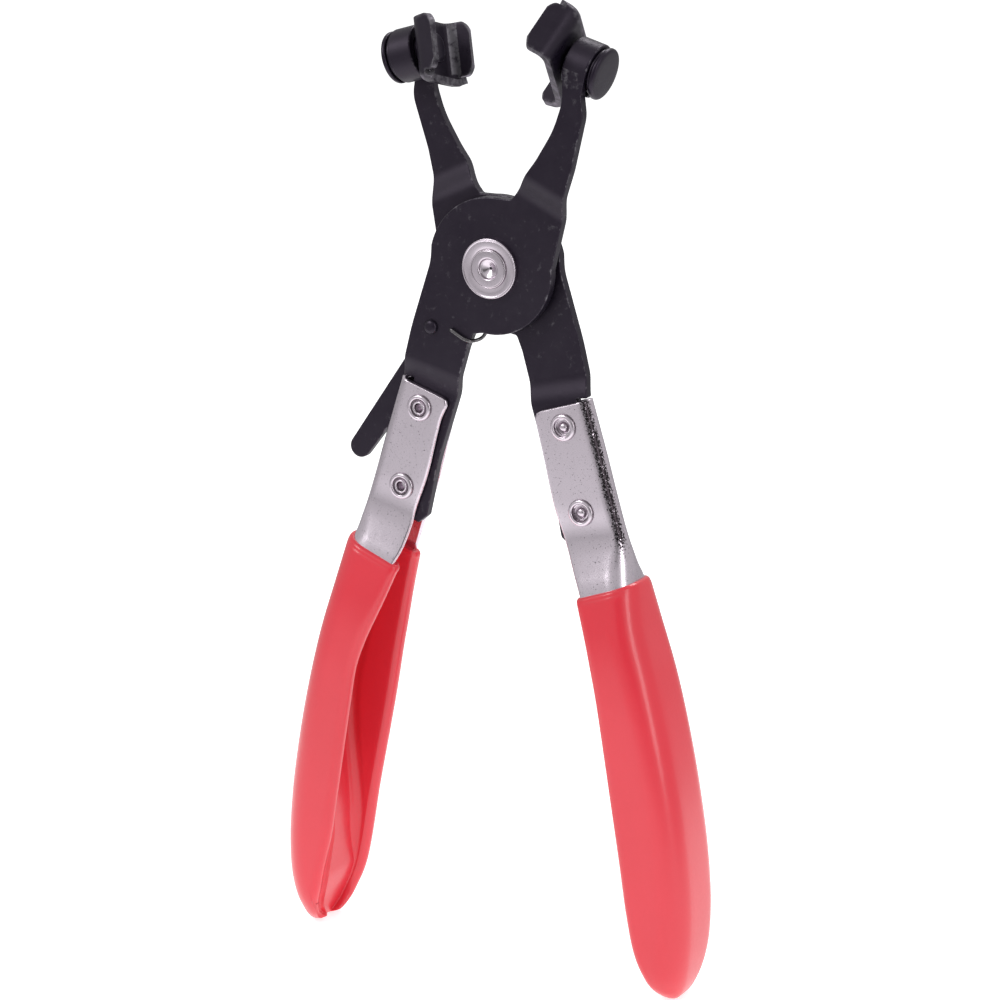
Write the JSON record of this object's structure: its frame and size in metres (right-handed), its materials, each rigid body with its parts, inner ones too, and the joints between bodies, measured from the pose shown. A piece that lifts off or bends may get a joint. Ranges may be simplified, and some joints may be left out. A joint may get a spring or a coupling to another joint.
{
  "type": "hose clamp pliers",
  "caption": "Swivel-jaw hand pliers for flat band hose clamps, with riveted arms, plated channel handles, dipped grips and a ratchet lock lever.",
  "frame": {"origin": "on the ground midway between the two handle ends, straight below the pivot", "axes": "the tool lies in the XZ plane with its jaws up (+Z); -Y is the front, where the arm with the lock lever shows; +X runs from the left handle to the right one"},
  "size_m": [0.1052, 0.0214, 0.2211],
  "materials": {
    "black_steel": "black oxide over pressed sheet, semi-gloss, worn at the edges",
    "black_pin": "black oxide, turned, smoother than the sheet",
    "plated_steel": "bright nickel plate",
    "spring_wire": "drawn spring wire",
    "red_grip": "glossy dipped vinyl"
  },
  "bodies": {
    "rear_arm_body": {"rear_arm": "black_steel", "pivot_rivet": "plated_steel", "pivot_front_washer": "plated_steel", "pivot_rear_washer": "plated_steel", "pivot_spacer": "plated_steel", "opening_spring": "spring_wire", "right_handle_channel": "plated_steel", "right_grip": "red_grip", "right_upper_rivet": "plated_steel", "right_lower_rivet": "plated_steel", "left_jaw_washer": "black_pin"},
    "front_arm_body": {"front_arm": "black_steel", "left_handle_channel": "plated_steel", "left_grip": "red_grip", "left_upper_rivet": "plated_steel", "left_lower_rivet": "plated_steel", "lock_lever_pin": "black_pin", "lock_lever_spring": "spring_wire", "right_jaw_washer": "black_pin"},
    "lock_lever_body": {"lock_lever": "black_steel"},
    "left_jaw_body": {"left_jaw": "black_steel", "left_jaw_pin": "black_pin"},
    "right_jaw_body": {"right_jaw": "black_steel", "right_jaw_pin": "black_pin"}
  },
  "joints": [
    {"name": "pivot", "type": "hinge", "parent": "rear_arm_body", "child": "front_arm_body", "pos_m": [0, 0, 0.16295], "axis": [0, -1, 0], "range_deg": [0, 26], "stiffness_Nm_per_rad": 0.3, "springref_deg": -5.73, "deforming": ["opening_spring"]},
    {"name": "lock_lever_hinge", "type": "hinge", "parent": "front_arm_body", "child": "lock_lever_body", "pos_m": [-0.0151, 0, 0.14815], "axis": [0, -1, 0], "range_deg": [0, 12], "stiffness_Nm_per_rad": 0.01, "springref_deg": -5.73, "deforming": ["lock_lever_spring"]},
    {"name": "left_jaw_swivel", "type": "hinge", "parent": "rear_arm_body", "child": "left_jaw_body", "pos_m": [-0.0215, 0, 0.20825], "axis": [0.9613, 0, 0.2756], "continuous": true},
    {"name": "right_jaw_swivel", "type": "hinge", "parent": "front_arm_body", "child": "right_jaw_body", "pos_m": [0.0215, 0, 0.20825], "axis": [-0.9613, 0, 0.2756], "continuous": true}
  ]
}
